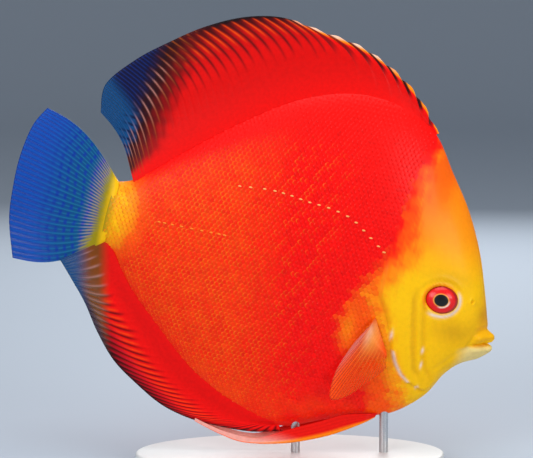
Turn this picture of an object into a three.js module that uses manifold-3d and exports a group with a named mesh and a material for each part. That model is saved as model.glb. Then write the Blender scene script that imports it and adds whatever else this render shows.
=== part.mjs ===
// A life-size display model of an adult discus fish on a small stand.
// Millimetres, +Z up, +X towards the head. The origin is the centre of the stand's underside.
// The fish is drawn in a frame of its own: x towards the snout, z towards the back, y to its left.

import * as THREE from 'three';
import { ParametricGeometry } from 'three/addons/geometries/ParametricGeometry.js';
import { mergeVertices } from 'three/addons/utils/BufferGeometryUtils.js';
import Module from 'manifold-3d';

const wasm = await Module();
wasm.setup();

// Pose: the fish swims nose down, its own frame this high above the floor.
const NOSE_DOWN = THREE.MathUtils.degToRad(13);
const FISH_HEIGHT = 79.5;

// Gap between neighbours, and how wide every cutting prism is, which is wider than the fish.
const GAP = 0.3;
const CUT_DEPTH = 80;

// Stand: an oval plate with two round rods that go up into the belly.
const BASE_LENGTH = 104;
const BASE_DEPTH = 62;
const BASE_THICKNESS = 5;
const BASE_CHAMFER = 0.8;
const ROD_RADIUS = 1.5;
const ROD_FOOT = 2.3;
const RODS = [
  { name: 'stand_rod_front', x: 31.6, top: 24 },
  { name: 'stand_rod_rear', x: 1.9, top: 20.5 },
];

// Body: each rung joins a point of the back to one of the belly and gives half the width there.
const RUNGS = [
  { back: [74.2, -19.6], belly: [74.0, -24.6], half: 2.4 }, // mouth
  { back: [71.6, -15.2], belly: [71.6, -27.4], half: 4.2 }, // snout and chin
  { back: [68.4, -5.8], belly: [65.8, -30.2], half: 6.4 },
  { back: [63.4, 7.4], belly: [61.2, -35.0], half: 8.3 }, // forehead and throat
  { back: [56.6, 20.2], belly: [56.4, -43.6], half: 9.9 }, // eyes
  { back: [48.6, 31.2], belly: [48.0, -51.2], half: 11.4 },
  { back: [39.6, 42.9], belly: [38.8, -55.0], half: 12.6 }, // nape and breast
  { back: [26.5, 50.0], belly: [26.0, -59.0], half: 13.2 },
  { back: [11.0, 51.0], belly: [11.0, -64.6], half: 12.8 }, // vent
  { back: [-6.0, 45.4], belly: [-6.0, -61.0], half: 11.6 },
  { back: [-22.0, 34.7], belly: [-21.5, -53.4], half: 9.9 },
  { back: [-37.0, 22.2], belly: [-35.5, -42.0], half: 7.8 },
  { back: [-48.5, 11.6], belly: [-48.0, -30.6], half: 5.8 },
  { back: [-55.0, 5.2], belly: [-56.0, -20.2], half: 4.4 }, // tail stalk
  { back: [-60.5, 3.4], belly: [-61.0, -17.4], half: 3.4 }, // root of the tail fin
];
const LAST_RUNG = RUNGS.length - 1;
const EDGE_HALF = 1.6; // rounding of the keels along back and belly
const KEEL_HEAD = 1.0; // power of the section at the snout: 1 is an ellipse
const KEEL_TRUNK = 1.55; // power along the trunk: fuller flanks and thinner keels
const KEEL_CHANGE = [0.05, 0.45]; // the stretch from snout to trunk where the section changes
const SNOUT_SWEEP = 2.2; // how far the sides of the mouth fall back behind its front
const SNOUT_END = 0.2; // where that sweep has faded out
const BODY_AROUND = 24;
const BODY_ROWS = 38;

// Seams between the named regions of the body, seen from the side.
const HEAD_SEAM = [[48, 50], [39, 22], [34.5, 2], [33.2, -12.4], [38, -20], [42, -31.1], [45.1, -35.6],
  [52.8, -40.2], [58, -41.8], [66, -46]];
const TAIL_SEAM = [[-50.5, 30], [-50.5, -45]];
const MOUTH_SEAM = [[78, -20.6], [66.9, -23.3]];
const LIP_SEAM = [[66.9, -23.3], [66.9, -21.2], [69.6, -17.8], [75, -13]];
const JAW_SEAM = [[66.9, -23.3], [64.6, -26], [64.2, -40]];
const GILL_SEAM = [[31, -5.4], [38, -5.8], [42.6, -8], [44.8, -13.5], [46.2, -20], [48.1, -28], [50, -34.5],
  [54, -44]];
const GILL_PLATE = 2.0; // thickness of a gill cover at the widest part of the head

// Corners that close each region's outline after its seam, and one side's, all clear of the fish.
const HEAD_CORNERS = [[100, -46], [100, 50]];
const TAIL_CORNERS = [[-90, -45], [-90, 30]];
const LIP_CORNERS = [[82, -13], [82, -19.6]];
const JAW_CORNERS = [[82, -40], [82, -20.6]];
const GILL_CORNERS = [[20, -44], [20, -5.4]];
const SIDE_CORNERS = [[0, -60], [70, -60], [70, 60], [0, 60]];

// Eyes: flattened globes, sunk in sockets with their outer faces standing proud of the head.
const EYE = { x: 53.2, z: -9.7, side: 8.7, half: [5.9, 3.4, 5.0] };

// Unpaired fins: root along the body between two rungs, and the free margin from front to rear.
const DORSAL_RUNGS = [6.05, 12.85];
const DORSAL_MARGIN = [[40.2, 44.6], [31, 53.6], [20, 60.8], [8, 65.4], [-5, 67.2], [-18, 68.8],
  [-30.5, 66.2], [-42.7, 60.1], [-53, 52.6], [-62.6, 44.4], [-70.6, 34.2], [-70.2, 24.7]];
const ANAL_RUNGS = [8.05, 13.25];
const ANAL_MARGIN = [[12.5, -66.3], [3, -68.6], [-8, -69.3], [-19, -68.9], [-29, -66.6], [-38.5, -61.8],
  [-47.7, -55.8], [-55.2, -47.6], [-61.4, -38.8], [-67.5, -31.8], [-72.7, -26.2]];
const TAIL_ROOT = [[-61.2, 3.1], [-61.6, -17.0]];
const TAIL_MARGIN = [[-87.8, 22.1], [-91.2, 15.5], [-93, 5], [-93.1, -6], [-92.1, -17], [-88.4, -29.4]];
const TAIL_FLARE = 4.0; // how far the outer rays bow outwards
const ROOT_HALF = 1.2;
const MARGIN_HALF = 0.3;
const FIN_TAPER = 0.7; // power of the thinning from root to margin: below 1 it is quick at first
const FIN_FLATNESS = 3; // how soon a fin's section reaches its full thickness from either edge

// Sway of the unpaired fins: how far they lean to either side, and the phase from front to rear.
const DORSAL_SWAY = { reach: 0.8, phase: 9 };
const ANAL_SWAY = { reach: 0.8, phase: 8 };
const TAIL_SWAY = { reach: 1.6, start: 2, phase: 5 };

// Paired fins: a pectoral fan behind each gill cover and a pelvic sickle under each side of the breast.
const PECTORAL_ROOT = [[32.6, -20.6], [35.4, -24.8], [39.0, -30.6]];
const PECTORAL_MARGIN = [[28.4, -30], [24.8, -40.5], [25.0, -49.7], [30.4, -47.8], [36.4, -41.2],
  [40.6, -36.2]];
const PECTORAL_SIDE = { root: 14.0, drop: 2.6 };
const PELVIC_UPPER = [[40.4, -54.0], [32, -55.2], [24, -59.4], [14, -64.6], [4, -69.8], [-7, -69.9],
  [-16.9, -68.0]];
const PELVIC_LOWER = [[39.4, -57.0], [33, -60.6], [25.4, -64.8], [14, -69.4], [1.2, -72.1], [-8, -71.2],
  [-16.9, -69.0]];
const PELVIC_SIDE = { root: 2.6, spread: 1.6 };
const FIN_SKIN = 0.5;

// Facets round a rod, round an eye and from pole to pole of it, and round half of the stand's oval.
const ROD_FACETS = 24;
const EYE_FACETS = [16, 12];
const OVAL_FACETS = 40;

const { clamp, lerp, smoothstep } = THREE.MathUtils;
const plane = (points) => points.map(([x, z]) => new THREE.Vector2(x, z));
const spline = (points) => new THREE.SplineCurve(plane(points));

/** The geometry with its shared vertices merged and the triangles that collapse left out. */
function welded(geometry) {
  geometry.deleteAttribute('normal');
  geometry.deleteAttribute('uv');
  const merged = mergeVertices(geometry, 1e-4);
  const corners = merged.index.array;
  const kept = [];
  for (let i = 0; i < corners.length; i += 3) {
    const [a, b, c] = [corners[i], corners[i + 1], corners[i + 2]];
    if (a !== b && b !== c && c !== a) kept.push(a, b, c);
  }
  merged.setIndex(kept);
  merged.computeVertexNormals();
  return merged;
}

/** A closed geometry as a solid that can be cut and joined. */
function solid(geometry) {
  const closed = welded(geometry);
  return new wasm.Manifold(new wasm.Mesh({
    numProp: 3,
    vertProperties: closed.attributes.position.array,
    triVerts: new Uint32Array(closed.index.array),
  }));
}

/** The geometry of a solid. */
function geometryOf(body) {
  const { vertProperties, triVerts } = body.getMesh();
  const geometry = new THREE.BufferGeometry();
  geometry.setAttribute('position', new THREE.BufferAttribute(vertProperties, 3));
  geometry.setIndex(new THREE.BufferAttribute(triVerts, 1));
  geometry.computeVertexNormals();
  return geometry;
}

/** A closed skin over rings ring(turn, along, target); each end ring is zipped up along its middle line. */
function loft(ring, around, rows) {
  const opposite = new THREE.Vector3();
  const surface = (turn, v, target) => {
    const row = v * (rows + 2) - 1;
    const along = clamp(row / rows, 0, 1);
    ring(turn, along, target);
    if (row < -0.5 || row > rows + 0.5) {
      ring(1 - turn, along, opposite);
      target.add(opposite).multiplyScalar(0.5);
    }
  };
  return welded(new ParametricGeometry(surface, around, rows + 2));
}

/** A side view outline as a prism right through the fish. */
function prism(outline) {
  const geometry = new THREE.ExtrudeGeometry(new THREE.Shape(outline), {
    depth: CUT_DEPTH,
    bevelEnabled: false,
  });
  return solid(geometry.rotateX(Math.PI / 2).translate(0, CUT_DEPTH / 2, 0));
}

/** A prism along a side view line, as wide as the gap between neighbours. */
function seam(points) {
  const line = plane(points);
  const edge = (side) => line.map((point, i) => {
    const ahead = line[Math.min(i + 1, line.length - 1)];
    const behind = line[Math.max(i - 1, 0)];
    const across = ahead.clone().sub(behind).normalize().rotateAround(new THREE.Vector2(), Math.PI / 2);
    return point.clone().addScaledVector(across, side * GAP / 2);
  });
  return prism([...edge(1), ...edge(-1).reverse()]);
}

const backLine = spline(RUNGS.map((rung) => rung.back));
const bellyLine = spline(RUNGS.map((rung) => rung.belly));
const halfLine = spline(RUNGS.map((rung, i) => [i, rung.half]));

/** Ring of the body: along 0 is the mouth and 1 the root of the tail fin; inset thins it from both sides. */
function bodyRing(inset) {
  return (turn, along, target) => {
    const angle = turn * 2 * Math.PI;
    const belly = bellyLine.getPoint(along);
    const centre = belly.clone().lerp(backLine.getPoint(along), (1 - Math.cos(angle)) / 2);
    const side = Math.abs(Math.sin(angle));
    const half = Math.max(halfLine.getPoint(along).y - inset, EDGE_HALF);
    const power = lerp(KEEL_HEAD, KEEL_TRUNK, smoothstep(along, ...KEEL_CHANGE));
    const width = (half - EDGE_HALF) * side ** power + EDGE_HALF * side;
    const sweep = SNOUT_SWEEP * side ** 2 * (1 - smoothstep(along, 0, SNOUT_END));
    target.set(centre.x - sweep, -Math.sign(Math.sin(angle)) * width, centre.y);
  };
}

/** Solid of a fin: it spans from root(along) to margin(along), and bow and centre bend it. */
function fin({ root, margin, bow, centre, half, facing, around, rows }) {
  const ring = (turn, along, target) => {
    const angle = turn * 2 * Math.PI;
    const reach = (1 - Math.cos(angle)) / 2;
    const middle = root(along).lerp(margin(along), reach);
    const thickness = lerp(half[0], half[1], reach ** FIN_TAPER);
    const side = facing * clamp(FIN_FLATNESS * Math.sin(angle), -1, 1);
    target.set(middle.x, centre(along, reach) + side * thickness, middle.y + bow(along, reach));
  };
  return loft(ring, around, rows);
}

/** A line beside the back or the belly, clear of it by the gap, between two rungs. */
function keel(line, other, [first, last]) {
  return (along) => {
    const place = lerp(first, last, along) / LAST_RUNG;
    const point = line.getPoint(place);
    const outward = point.clone().sub(other.getPoint(place)).normalize();
    return point.addScaledVector(outward, GAP);
  };
}

const pose = new THREE.Matrix4().makeRotationY(NOSE_DOWN).setPosition(0, 0, FISH_HEIGHT);

/** An upright rod in the model's frame. */
function rod(x, bottom, top, radius) {
  const geometry = new THREE.CylinderGeometry(radius, radius, top - bottom, ROD_FACETS);
  return geometry.rotateX(Math.PI / 2).translate(x, 0, (bottom + top) / 2);
}

/** The hole that a rod leaves in the fish, in the fish's frame. */
function rodHole({ x, top }) {
  return solid(rod(x, 0, top + GAP, ROD_RADIUS + GAP).applyMatrix4(pose.clone().invert()));
}

/** The body parted at its seams into head, lips, gill covers, trunk and tail stalk. */
function bodyParts() {
  const whole = solid(loft(bodyRing(0), BODY_AROUND, BODY_ROWS));
  const inner = (inset) => solid(loft(bodyRing(inset), BODY_AROUND, BODY_ROWS));
  const front = prism(plane([...HEAD_SEAM, ...HEAD_CORNERS]));
  const behind = prism(plane([...TAIL_SEAM, ...TAIL_CORNERS]));
  const lip = prism(plane([...LIP_SEAM, ...LIP_CORNERS, MOUTH_SEAM[0]]));
  const jaw = prism(plane([...JAW_SEAM, ...JAW_CORNERS, MOUTH_SEAM[0]]));
  const gill = prism(plane([...GILL_SEAM, ...GILL_CORNERS])).intersect(front);
  const seams = [HEAD_SEAM, TAIL_SEAM].map(seam).reduce((sum, cut) => sum.add(cut));
  const mouth = [MOUTH_SEAM, LIP_SEAM, JAW_SEAM].map(seam).reduce((sum, cut) => sum.add(cut));
  const eyeHole = (side) => solid(eyeGeometry(GAP).translate(EYE.x, side * EYE.side, EYE.z));
  const headWhole = whole.intersect(front).subtract(seams);
  const plates = headWhole.intersect(gill).subtract(seam(GILL_SEAM)).subtract(inner(GILL_PLATE));
  const side = (sign) => prism(plane(SIDE_CORNERS)).translate([0, sign * (CUT_DEPTH / 2), 0]);
  const head = headWhole.subtract(lip).subtract(jaw).subtract(mouth)
    .subtract(gill.subtract(inner(GILL_PLATE + GAP)))
    .subtract(eyeHole(-1)).subtract(eyeHole(1));
  const trunk = whole.subtract(front).subtract(behind).subtract(seams);
  return {
    head,
    upper_lip: headWhole.intersect(lip).subtract(mouth),
    lower_jaw: headWhole.intersect(jaw).subtract(mouth),
    gill_cover_right: plates.intersect(side(-1)),
    gill_cover_left: plates.intersect(side(1)),
    trunk: RODS.reduce((rest, place) => rest.subtract(rodHole(place)), trunk),
    tail_stalk: whole.intersect(behind).subtract(seams),
  };
}

/** An eye about its own middle, grown by a margin all round. */
function eyeGeometry(grown) {
  return new THREE.SphereGeometry(1, ...EYE_FACETS).scale(...EYE.half.map((half) => half + grown));
}

const level = () => 0;

function dorsalFin() {
  const margin = spline(DORSAL_MARGIN);
  return fin({
    root: keel(backLine, bellyLine, DORSAL_RUNGS),
    margin: (along) => margin.getPoint(along),
    bow: level,
    centre: (along, reach) => DORSAL_SWAY.reach * reach * Math.sin(DORSAL_SWAY.phase * along),
    half: [ROOT_HALF, MARGIN_HALF],
    facing: -1,
    around: 14,
    rows: 30,
  });
}

function analFin() {
  const margin = spline(ANAL_MARGIN);
  return fin({
    root: keel(bellyLine, backLine, ANAL_RUNGS),
    margin: (along) => margin.getPoint(along),
    bow: level,
    centre: (along, reach) => -ANAL_SWAY.reach * reach * Math.sin(ANAL_SWAY.phase * along),
    half: [ROOT_HALF, MARGIN_HALF],
    facing: 1,
    around: 14,
    rows: 26,
  });
}

function tailFin() {
  const [top, bottom] = plane(TAIL_ROOT);
  const margin = spline(TAIL_MARGIN);
  return fin({
    root: (along) => top.clone().lerp(bottom, along),
    margin: (along) => margin.getPoint(along),
    bow: (along, reach) => TAIL_FLARE * (1 - 2 * along) * Math.sin(Math.PI * reach),
    centre: (along, reach) => TAIL_SWAY.reach * reach ** 2
      * Math.sin(TAIL_SWAY.start + TAIL_SWAY.phase * along),
    half: [ROOT_HALF, MARGIN_HALF],
    facing: -1,
    around: 12,
    rows: 18,
  });
}

/** Pectoral fin of one side: -1 is the right, which faces -Y, and 1 the left. */
function pectoralFin(side) {
  const root = spline(PECTORAL_ROOT);
  const margin = spline(PECTORAL_MARGIN);
  return fin({
    root: (along) => root.getPoint(along),
    margin: (along) => margin.getPoint(along),
    bow: level,
    centre: (along, reach) => side * (PECTORAL_SIDE.root - PECTORAL_SIDE.drop * reach ** 2),
    half: [FIN_SKIN, MARGIN_HALF],
    facing: -1,
    around: 12,
    rows: 12,
  });
}

/** Pelvic fin of one side. */
function pelvicFin(side) {
  const upper = spline(PELVIC_UPPER);
  const lower = spline(PELVIC_LOWER);
  return fin({
    root: (along) => upper.getPoint(along),
    margin: (along) => lower.getPoint(along),
    bow: level,
    centre: (along) => side * (PELVIC_SIDE.root + PELVIC_SIDE.spread * Math.sin(Math.PI * along)),
    half: [FIN_SKIN, MARGIN_HALF],
    facing: 1,
    around: 10,
    rows: 16,
  });
}

function standBase() {
  const oval = new THREE.Shape();
  const [length, depth] = [BASE_LENGTH / 2 - BASE_CHAMFER, BASE_DEPTH / 2 - BASE_CHAMFER];
  oval.absellipse(0, 0, length, depth, 0, 2 * Math.PI, false);
  const plate = new THREE.ExtrudeGeometry(oval, {
    depth: BASE_THICKNESS - 2 * BASE_CHAMFER,
    bevelThickness: BASE_CHAMFER,
    bevelSize: BASE_CHAMFER,
    bevelSegments: 1,
    curveSegments: OVAL_FACETS,
  }).translate(0, 0, BASE_CHAMFER);
  const hole = ({ x }) => solid(rod(x, ROD_FOOT - GAP, 2 * BASE_THICKNESS, ROD_RADIUS + GAP));
  return geometryOf(RODS.reduce((rest, place) => rest.subtract(hole(place)), solid(plate)));
}

/** A named mesh with a material of its own. */
function piece(name, geometry, color, roughness, metalness = 0) {
  const mesh = new THREE.Mesh(geometry, new THREE.MeshStandardMaterial({ color, roughness, metalness }));
  mesh.name = name;
  return mesh;
}

const YELLOW = 0xf6b012;
const SCARLET = 0xf01a06;

const fish = new THREE.Group();
fish.rotation.y = NOSE_DOWN;
fish.position.z = FISH_HEIGHT;

const bodyColours = {
  head: YELLOW,
  upper_lip: YELLOW,
  lower_jaw: 0xe8cc61,
  gill_cover_right: YELLOW,
  gill_cover_left: YELLOW,
  trunk: SCARLET,
  tail_stalk: 0xe89a14,
};
for (const [name, body] of Object.entries(bodyParts())) {
  fish.add(piece(name, geometryOf(body), bodyColours[name], 0.35));
}
fish.add(piece('dorsal_fin', dorsalFin(), 0xd81408, 0.4));
fish.add(piece('anal_fin', analFin(), 0xb8180c, 0.4));
fish.add(piece('tail_fin', tailFin(), 0x4f86a8, 0.4));
for (const [word, side] of [['right', -1], ['left', 1]]) {
  const eye = piece(`eye_${word}`, welded(eyeGeometry(0)), 0xc8060c, 0.08);
  eye.position.set(EYE.x, side * EYE.side, EYE.z);
  fish.add(eye);
  fish.add(piece(`pectoral_fin_${word}`, pectoralFin(side), 0xf5743a, 0.4));
  fish.add(piece(`pelvic_fin_${word}`, pelvicFin(side), 0xe03018, 0.4));
}

const model = new THREE.Group();
model.add(fish);
model.add(piece('stand_base', standBase(), 0xdfe1df, 0.5, 0.1));
for (const { name, x, top } of RODS) {
  model.add(piece(name, welded(rod(x, ROD_FOOT, top, ROD_RADIUS)), 0xc4c6c8, 0.3, 1));
}

export default model;
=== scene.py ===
"""A life-size display model of a discus fish on a small oval stand, dressed over its construction model.

The fish is worked out in a frame of its own, in millimetres: x towards the snout, z towards the back
and y to its left. posed() turns that into the model's frame, nose down and in metres.
"""

import bmesh
import bpy
import numpy as np
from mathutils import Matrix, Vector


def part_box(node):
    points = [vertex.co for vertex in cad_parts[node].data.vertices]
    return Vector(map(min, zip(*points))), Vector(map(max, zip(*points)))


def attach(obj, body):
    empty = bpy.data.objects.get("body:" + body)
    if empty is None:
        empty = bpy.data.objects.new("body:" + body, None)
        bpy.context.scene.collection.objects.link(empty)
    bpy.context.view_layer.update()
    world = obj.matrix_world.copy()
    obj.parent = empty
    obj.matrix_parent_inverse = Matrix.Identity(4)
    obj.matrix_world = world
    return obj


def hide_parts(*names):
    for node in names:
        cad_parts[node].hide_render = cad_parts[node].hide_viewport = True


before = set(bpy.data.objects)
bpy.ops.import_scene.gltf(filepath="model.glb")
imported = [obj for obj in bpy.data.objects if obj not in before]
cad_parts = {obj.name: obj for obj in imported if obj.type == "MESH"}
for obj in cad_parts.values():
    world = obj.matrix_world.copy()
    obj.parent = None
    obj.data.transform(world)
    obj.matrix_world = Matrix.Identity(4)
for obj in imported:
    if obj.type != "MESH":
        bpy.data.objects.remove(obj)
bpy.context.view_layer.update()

# The studio
# A pale grey floor that curves up into a backdrop, under soft light: a wide sky, a big panel over the
# fish, two in front and one behind. The camera looks at the fish's right side from 6 degrees above
# level, and frames it as the photo does.

AIM = np.array([-0.00783, 0, 0.0805])
DISTANCE = 0.7
ELEVATION = np.radians(6)
LENS = 141.8
NEAREST = 0.02
SKY = 0.42
PANELS = [
    # name, place, point it faces, size, watts
    ("over", (0.05, -0.10, 0.75), (0, 0, 0.08), 0.60, 3.2),
    ("front_left", (-0.45, -0.70, 0.42), (0, 0, 0.08), 0.45, 3.4),
    ("front_right", (0.62, -0.62, 0.30), (0, 0, 0.08), 0.35, 2.4),
    ("behind", (0.10, 0.70, 0.45), (0, 0, 0.10), 0.50, 3),
]
FLOOR_FRONT = -6.0
FLOOR_BACK = 2.0
FLOOR_HALF_WIDTH = 8.0
SWEEP_RADIUS = 1.5
SWEEP_STEPS = 24
BACKDROP_HEIGHT = 8.0
MERGE = 1e-7  # points this near each other are one


def linear(code):
    """An sRGB hex colour such as F6B012 as linear red, green, blue and 1.

    A channel up to 0.04045 is divided by 12.92, and any other is (c + 0.055) / 1.055 to the power 2.4.
    """
    channels = np.array([int(code[i:i + 2], 16) for i in (0, 2, 4)]) / 255
    curve = np.where(channels <= 0.04045, channels / 12.92, ((channels + 0.055) / 1.055) ** 2.4)
    return (*curve.tolist(), 1)


def add(tree, kind, inputs=None, **settings):
    """Adds a node: settings are its properties, inputs maps its sockets to values or to other sockets."""
    made = tree.nodes.new(kind)
    for key, value in settings.items():
        setattr(made, key, value)
    for key, value in (inputs or {}).items():
        if isinstance(value, bpy.types.NodeSocket):
            tree.links.new(value, made.inputs[key])
        else:
            made.inputs[key].default_value = value
    return made


def finish(name, **shader):
    """A material whose surface is one Principled shader with the given uniform values."""
    material = bpy.data.materials.new(name)
    material.use_nodes = True
    principled = material.node_tree.nodes["Principled BSDF"]
    for key, value in shader.items():
        principled.inputs[key.replace("_", " ")].default_value = value
    return material, material.node_tree, principled


def grid(*parts):
    """Coordinates spread over one common grid and stacked into points."""
    return np.stack(np.broadcast_arrays(*parts), axis=-1)


def cells(values):
    """The four corners of each cell of a grid of values, in turn round the cell."""
    return np.stack([values[:-1, :-1], values[:-1, 1:], values[1:, 1:], values[1:, :-1]], axis=2)


def piece_of(name, points, quads, corners=None):
    """Mesh object of points in metres and of quads of their numbers, with each quad corner's place as UV."""
    mesh = bpy.data.meshes.new(name)
    mesh.from_pydata(points.reshape(-1, 3), [], quads.reshape(-1, 4).tolist())
    if corners is not None:
        mesh.uv_layers.new(name="OFBake").data.foreach_set("uv", corners.reshape(-1).astype(np.float32))
    piece = bpy.data.objects.new(name, mesh)
    bpy.context.collection.objects.link(piece)
    return piece


def net(name, points, ring=False):
    """Piece over a grid of points in metres: a quad for each cell, columns closed into a ring if asked.

    As UV each corner has its row and its column, as shares of the whole net.
    """
    rows, columns = points.shape[:2]
    index = np.arange(rows * columns).reshape(rows, columns)
    if ring:
        index = np.concatenate([index, index[:, :1]], axis=1)
    place = grid(np.linspace(0, 1, index.shape[0])[:, None], np.linspace(0, 1, index.shape[1]))
    return piece_of(name, points, cells(index), cells(place))


def close(piece, material):
    """Merges the piece's points that coincide, smooths its shading and gives it its material."""
    work = bmesh.new()
    work.from_mesh(piece.data)
    bmesh.ops.remove_doubles(work, verts=work.verts, dist=MERGE)
    work.to_mesh(piece.data)
    work.free()
    piece.data.shade_smooth()
    piece.data.materials.append(material)


camera = bpy.data.objects.new("camera", bpy.data.cameras.new("camera"))
camera.data.lens = LENS
camera.data.clip_start = NEAREST
camera.location = AIM + DISTANCE * np.array([0, -np.cos(ELEVATION), np.sin(ELEVATION)])
camera.rotation_euler = (np.pi / 2 - ELEVATION, 0, 0)
bpy.context.collection.objects.link(camera)
bpy.context.scene.camera = camera

world = bpy.data.worlds.new("studio")
world.use_nodes = True
world.node_tree.nodes["Background"].inputs["Color"].default_value = linear("E4EAF2")
world.node_tree.nodes["Background"].inputs["Strength"].default_value = SKY
bpy.context.scene.world = world
bpy.context.scene.view_settings.view_transform = "Standard"

for name, place, target, size, watts in PANELS:
    lamp = bpy.data.lights.new(name, "AREA")
    lamp.energy = watts
    lamp.size = size
    panel = bpy.data.objects.new("panel_" + name, lamp)
    aim = np.array(target) - np.array(place)
    panel.location = place
    panel.rotation_euler = (np.arctan2(np.hypot(aim[0], aim[1]), -aim[2]), 0, np.arctan2(-aim[0], aim[1]))
    bpy.context.collection.objects.link(panel)

# Matt paint rolled on board: an even pale grey without a highlight.
floor_paint, _, _ = finish("matte_floor_paint", Base_Color=linear("AEB8C4"), Roughness=0.75)
climb = np.linspace(0, np.pi / 2, SWEEP_STEPS)
curve_y = FLOOR_BACK + SWEEP_RADIUS * np.sin(climb)
curve_z = SWEEP_RADIUS * (1 - np.cos(climb))
sweep_y = np.concatenate([[FLOOR_FRONT], curve_y, curve_y[-1:]])
sweep_z = np.concatenate([[0], curve_z, [BACKDROP_HEIGHT]])
floor = net("floor", grid(FLOOR_HALF_WIDTH * np.array([[-1], [1]]), sweep_y, sweep_z))
close(floor, floor_paint)

# The stand
# An oval steel plate, its edge rounded over and powder coated in satin off-white, with two bright
# brushed stainless rods pressed into it that end in holes in the breast and the belly.

HALF_LENGTH = 0.052
HALF_DEPTH = 0.031
THICKNESS = 0.005
EDGE_ROUND = 0.0008
ROD_RADIUS = 0.0015
PLATE_STEPS = 160
ROUND_STEPS = 7
ROD_STEPS = 32
ROD_SHARP = 0.8  # edges bent by more than this many radians stay sharp
PEEL = 1.1111  # mm from one bump of the coat's orange peel to the next
FLECK = 16.667  # mm across the coat's faint patches
BRUSH = np.array([0.11111, 0.11111, 8.3333])  # mm across and along one stroke of the brushed steel


def per_metre(size):
    """Scale of a pattern on Object coordinates: how many patches of a size in mm lie along a metre."""
    return 1000 / size


turn = np.linspace(0, 2 * np.pi, PLATE_STEPS, endpoint=False)
bend = np.linspace(0, np.pi / 2, ROUND_STEPS)
inset = EDGE_ROUND * np.concatenate([1 - np.sin(bend), 1 - np.cos(bend)])
rise = np.concatenate([EDGE_ROUND * (1 - np.cos(bend)), THICKNESS - EDGE_ROUND * (1 - np.sin(bend))])
plate = net("stand_plate", grid(
    np.concatenate([[0], HALF_LENGTH - inset, [0]])[:, None] * np.cos(turn),
    np.concatenate([[0], HALF_DEPTH - inset, [0]])[:, None] * np.sin(turn),
    np.concatenate([[0], rise, [THICKNESS]])[:, None],
), ring=True)

# Satin powder coat, baked on steel: off-white with a soft sheen over a slight orange peel.
powder_coat, tree, shader = finish("satin_powder_coat_on_steel", Roughness=0.42, IOR=1.5)
place = add(tree, "ShaderNodeTexCoord").outputs["Object"]
peel = add(tree, "ShaderNodeTexNoise", {"Vector": place, "Scale": per_metre(PEEL), "Detail": 3})
fleck = add(tree, "ShaderNodeTexNoise", {"Vector": place, "Scale": per_metre(FLECK), "Detail": 4})
tone = add(tree, "ShaderNodeMix", {
    "Factor": fleck.outputs["Fac"], 6: linear("D3D6D6"), 7: linear("E2E3E1"),
}, data_type="RGBA")
tree.links.new(tone.outputs[2], shader.inputs["Base Color"])
bump = add(tree, "ShaderNodeBump", {"Height": peel.outputs["Fac"], "Strength": 0.12, "Distance": 0.0003})
tree.links.new(bump.outputs["Normal"], shader.inputs["Normal"])
close(plate, powder_coat)
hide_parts("stand_base")
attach(plate, "root")

# Stainless steel brushed along its length: bright metal whose highlight is drawn into fine streaks.
brushed_steel, tree, shader = finish("brushed_stainless_steel", Metallic=1, Base_Color=linear("C9CACC"))
place = add(tree, "ShaderNodeTexCoord").outputs["Object"]
drawn = add(tree, "ShaderNodeMapping", {"Vector": place, "Scale": per_metre(BRUSH)})
grain = add(tree, "ShaderNodeTexNoise", {"Vector": drawn.outputs["Vector"], "Scale": 1, "Detail": 2})
rough = add(tree, "ShaderNodeMapRange", {"Value": grain.outputs["Fac"], "To Min": 0.18, "To Max": 0.38})
tree.links.new(rough.outputs["Result"], shader.inputs["Roughness"])
for node in ("stand_rod_front", "stand_rod_rear"):
    low, high = np.array(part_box(node))
    middle = (low + high) / 2
    turn = np.linspace(0, 2 * np.pi, ROD_STEPS, endpoint=False)
    radius = np.array([0, ROD_RADIUS, ROD_RADIUS, 0])[:, None]
    rod = net(node + "_bright", grid(
        middle[0] + radius * np.cos(turn),
        middle[1] + radius * np.sin(turn),
        np.array([low[2], low[2], high[2], high[2]])[:, None],
    ), ring=True)
    close(rod, brushed_steel)
    rod.data.set_sharp_from_angle(angle=ROD_SHARP)
    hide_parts(node)
    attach(rod, "root")

# The skin
# One unbroken skin over head, gill covers, trunk and tail stalk: soft flesh under thin wet slime.
# Rungs from belly to back carry its outline, and relief gives lips, gill covers, nostrils and eye rims.

NOSE_DOWN = np.radians(13)
FISH_HEIGHT = 79.5
RUNGS = [
    # back x and z, belly x and z, half width
    (74.2, -19.6, 74, -24.6, 2.4),
    (71.6, -15.2, 71.6, -27.4, 4.2),
    (68.4, -5.8, 65.8, -30.2, 6.4),
    (63.4, 7.4, 61.2, -35, 8.3),
    (56.6, 20.2, 56.4, -43.6, 9.9),
    (48.6, 31.2, 48, -51.2, 11.4),
    (39.6, 42.9, 38.8, -55, 12.6),
    (26.5, 50, 26, -59, 13.2),
    (11, 51, 11, -64.6, 12.8),
    (-6, 45.4, -6, -61, 11.6),
    (-22, 34.7, -21.5, -53.4, 9.9),
    (-37, 22.2, -35.5, -42, 7.8),
    (-48.5, 11.6, -48, -30.6, 5.8),
    (-55, 5.2, -56, -20.2, 4.4),
    (-60.5, 3.4, -61, -17.4, 3.4),
]
EDGE_HALF = 1.6
KEEL_HEAD = 1.0
KEEL_TRUNK = 1.55
KEEL_CHANGE = (0.05, 0.45)
SNOUT_SWEEP = 2.2
SNOUT_END = 0.2
SCALE_DEPTH = 0.25  # the skin lies this far inside the scales' outer surface
KEEL_FADE = (1.5, 4)  # relief fades in over this distance from the middle plane

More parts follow.
